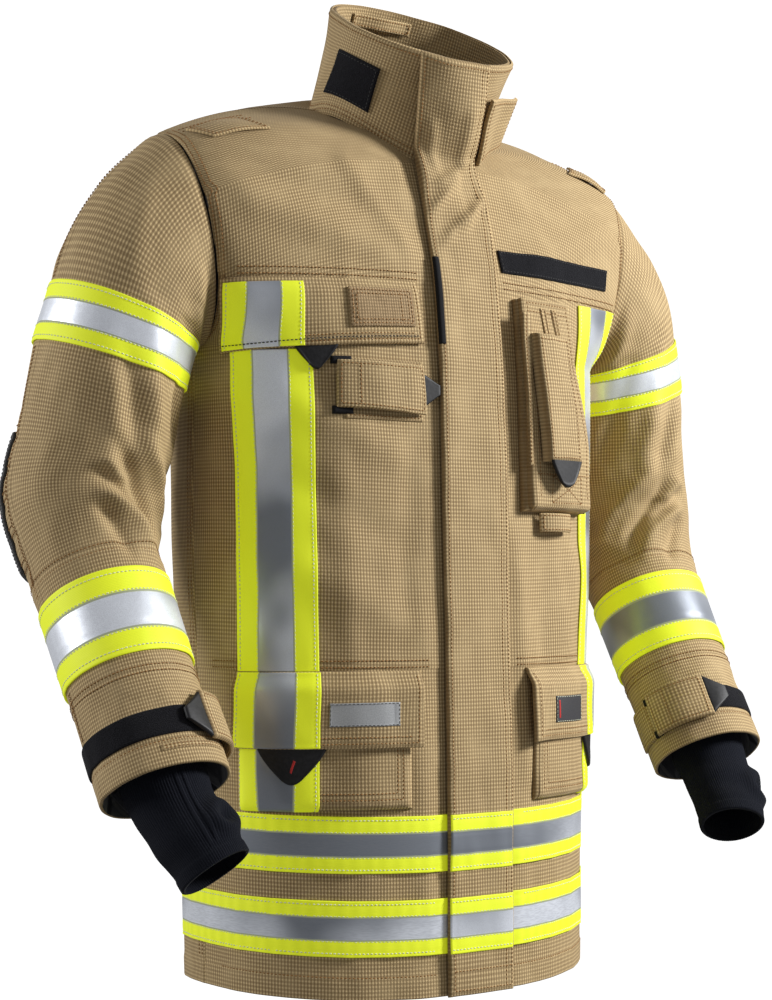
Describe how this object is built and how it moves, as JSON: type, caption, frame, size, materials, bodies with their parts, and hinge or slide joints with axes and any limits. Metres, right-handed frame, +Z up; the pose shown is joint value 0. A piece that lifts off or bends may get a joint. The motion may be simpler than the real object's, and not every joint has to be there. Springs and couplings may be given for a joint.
{
  "type": "turnout coat",
  "caption": "Hip-length protective work coat with a high collar, storm flap over a zip, reflective trim, flap pockets, radio pocket, jointed sleeves and knitted wristlets.",
  "frame": {"origin": "the point inside the back of the collar where the hanger loop holds the coat", "axes": "-Y the front of the coat, +X the wearer's left, +Z up"},
  "size_m": [0.7786, 0.3487, 0.9567],
  "materials": {
    "shell_fabric": "tan ripstop outer shell",
    "lining": "plain quilted lining",
    "reflective_trim": "lime yellow tape with a silver centre",
    "loop_pile": "black loop pile",
    "rubber_pull": "matt moulded rubber",
    "wristlet_knit": "fine black rib knit",
    "elbow_pad": "coated black patch",
    "zip_tape": "woven zip tape",
    "zip_metal": "dull metal zip"
  },
  "bodies": {
    "coat": {"back_panel": "shell_fabric", "body_liner": "lining", "collar_lining": "lining", "collar_loop_patch": "loop_pile", "collar_shell": "shell_fabric", "front_panel_left": "shell_fabric", "front_panel_right": "shell_fabric", "front_stripe_left": "reflective_trim", "front_stripe_right": "reflective_trim", "hanger_loop": "shell_fabric", "hem_band_lower": "reflective_trim", "hem_band_upper": "reflective_trim", "lower_pocket_left": "shell_fabric", "lower_pocket_right": "shell_fabric", "name_loop_strip": "loop_pile", "radio_pocket": "shell_fabric", "radio_strap": "shell_fabric", "shoulder_loop_left": "shell_fabric", "shoulder_loop_right": "shell_fabric", "storm_flap_top": "shell_fabric", "zip_tape_left": "zip_tape", "zip_tape_right": "zip_tape"},
    "storm_flap": {"storm_flap": "shell_fabric", "storm_flap_pull": "loop_pile", "flap_band_upper": "reflective_trim", "flap_band_lower": "reflective_trim"},
    "zip_slider": {"zip_slider": "zip_metal"},
    "chest_flap": {"chest_flap": "shell_fabric", "chest_flap_trim": "reflective_trim", "chest_flap_pull": "rubber_pull"},
    "mic_strap": {"mic_strap": "shell_fabric", "mic_strap_pull": "rubber_pull"},
    "throat_strap": {"throat_strap": "shell_fabric"},
    "radio_flap": {"radio_flap": "shell_fabric", "radio_flap_pull": "rubber_pull"},
    "lower_flap_right": {"lower_flap_right": "shell_fabric", "lower_flap_pull_right": "rubber_pull"},
    "lower_flap_left": {"lower_flap_left": "shell_fabric", "lower_flap_pull_left": "rubber_pull"},
    "upper_arm_right": {"sleeve_upper_right": "shell_fabric", "sleeve_band_upper_right": "reflective_trim", "elbow_section_right": "shell_fabric", "elbow_pad_right": "elbow_pad"},
    "forearm_right": {"sleeve_lower_right": "shell_fabric", "sleeve_band_lower_right": "reflective_trim", "cuff_loop_strip_right": "loop_pile", "wristlet_right": "wristlet_knit"},
    "cuff_strap_right": {"cuff_strap_right": "shell_fabric", "cuff_strap_pull_right": "rubber_pull"},
    "upper_arm_left": {"sleeve_upper_left": "shell_fabric", "sleeve_band_upper_left": "reflective_trim", "elbow_section_left": "shell_fabric", "elbow_pad_left": "elbow_pad"},
    "forearm_left": {"sleeve_lower_left": "shell_fabric", "sleeve_band_lower_left": "reflective_trim", "cuff_loop_strip_left": "loop_pile", "wristlet_left": "wristlet_knit"},
    "cuff_strap_left": {"cuff_strap_left": "shell_fabric", "cuff_strap_pull_left": "rubber_pull"}
  },
  "joints": [
    {"name": "storm_flap_hinge", "type": "hinge", "parent": "coat", "child": "storm_flap", "pos_m": [0.03932, -0.15402, -0.60363], "axis": [-0.0004, 0.0279, 0.9996], "range_deg": [0, 105]},
    {"name": "zip_slide", "type": "slide", "parent": "coat", "child": "zip_slider", "axis": [0, -0.0237, -0.9997], "range_m": [0, 0.53]},
    {"name": "chest_flap_hinge", "type": "hinge", "parent": "coat", "child": "chest_flap", "pos_m": [-0.1712, -0.12323, -0.27766], "axis": [-0.9598, 0.2803, -0.0137], "range_deg": [0, 100]},
    {"name": "mic_strap_hinge", "type": "hinge", "parent": "coat", "child": "mic_strap", "pos_m": [-0.13999, -0.13149, -0.37836], "axis": [0.0031, -0.0332, -0.9994], "range_deg": [0, 100]},
    {"name": "throat_strap_hinge", "type": "hinge", "parent": "coat", "child": "throat_strap", "pos_m": [0.04821, -0.11443, -0.12337], "axis": [-0.0005, 0.5403, -0.8415], "range_deg": [0, 110]},
    {"name": "radio_flap_hinge", "type": "hinge", "parent": "coat", "child": "radio_flap", "pos_m": [0.08974, -0.17241, -0.3135], "axis": [-0.9919, -0.124, 0.0287], "range_deg": [0, 140]},
    {"name": "lower_flap_hinge_right", "type": "hinge", "parent": "coat", "child": "lower_flap_right", "pos_m": [-0.15707, -0.13802, -0.6342], "axis": [-0.8492, 0.528, -0.0068], "range_deg": [0, 55]},
    {"name": "lower_flap_hinge_left", "type": "hinge", "parent": "coat", "child": "lower_flap_left", "pos_m": [0.15707, -0.13802, -0.6342], "axis": [-0.8492, -0.528, 0.0068], "range_deg": [0, 55]},
    {"name": "shoulder_swing_right", "type": "hinge", "parent": "coat", "child": "upper_arm_right", "pos_m": [-0.23775, -0.019, -0.2415], "axis": [-0.9791, 0, -0.2033], "range_deg": [-20, 14]},
    {"name": "elbow_bend_right", "type": "hinge", "parent": "upper_arm_right", "child": "forearm_right", "pos_m": [-0.3225, 0, -0.484], "axis": [-0.9141, -0.3665, 0.1733], "range_deg": [-25, 40], "deforming": ["elbow_section_right", "elbow_pad_right"]},
    {"name": "cuff_strap_hinge_right", "type": "hinge", "parent": "forearm_right", "child": "cuff_strap_right", "pos_m": [-0.251, -0.1208, -0.68753], "axis": [-0.0561, 0.5357, 0.8425], "range_deg": [0, 90]},
    {"name": "shoulder_swing_left", "type": "hinge", "parent": "coat", "child": "upper_arm_left", "pos_m": [0.23775, -0.019, -0.2415], "axis": [-0.9791, 0, 0.2033], "range_deg": [-20, 30]},
    {"name": "elbow_bend_left", "type": "hinge", "parent": "upper_arm_left", "child": "forearm_left", "pos_m": [0.3225, 0, -0.484], "axis": [-0.9141, 0.3665, -0.1733], "range_deg": [-25, 40], "deforming": ["elbow_section_left", "elbow_pad_left"]},
    {"name": "cuff_strap_hinge_left", "type": "hinge", "parent": "forearm_left", "child": "cuff_strap_left", "pos_m": [0.251, -0.1208, -0.68753], "axis": [-0.0561, -0.5357, -0.8425], "range_deg": [0, 90]}
  ]
}
